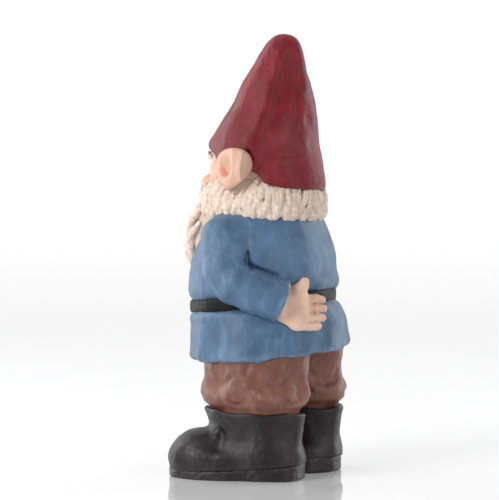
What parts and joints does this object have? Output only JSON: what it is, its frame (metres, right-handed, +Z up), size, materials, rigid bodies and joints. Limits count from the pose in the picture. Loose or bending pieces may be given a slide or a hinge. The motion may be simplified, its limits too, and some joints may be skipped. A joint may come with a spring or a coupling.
{
  "type": "garden gnome",
  "caption": "Free-standing garden gnome figure with tall leaning cone hat, full beard, belted jacket, trousers and round-toed boots, one hand behind the back.",
  "frame": {"origin": "on the ground plane, at the centre of the figure's overall footprint", "axes": "+Z up through the hat, the gnome faces -Y, its left side is +X"},
  "size_m": [0.1695, 0.1338, 0.36],
  "materials": {
    "hat_paint": "crimson brushed paint on cast resin, satin",
    "skin_paint": "flesh brushed paint on cast resin, satin",
    "beard_paint": "off-white paint with a brown wash in the grooves, matt",
    "jacket_paint": "denim blue brushed paint on cast resin, satin",
    "trouser_paint": "red-brown brushed paint on cast resin, satin",
    "boot_paint": "soft black paint on cast resin, satin",
    "belt_paint": "black paint on cast resin, satin",
    "buckle_paint": "dull gold paint on cast resin, satin",
    "eye_paint": "painted eye, gloss varnish"
  },
  "bodies": {
    "root": {"hat": "hat_paint", "head": "skin_paint", "eyes": "eye_paint", "left_ear": "skin_paint", "right_ear": "skin_paint", "nose": "skin_paint", "moustache": "beard_paint", "eyebrows": "beard_paint", "beard": "beard_paint", "hair": "beard_paint", "jacket_body": "jacket_paint", "jacket_skirt": "jacket_paint", "left_sleeve": "jacket_paint", "right_sleeve": "jacket_paint", "left_hand": "skin_paint", "right_hand": "skin_paint", "belt": "belt_paint", "belt_buckle": "buckle_paint", "trousers": "trouser_paint", "left_boot": "boot_paint", "right_boot": "boot_paint", "left_sole": "boot_paint", "right_sole": "boot_paint"}
  },
  "joints": []
}
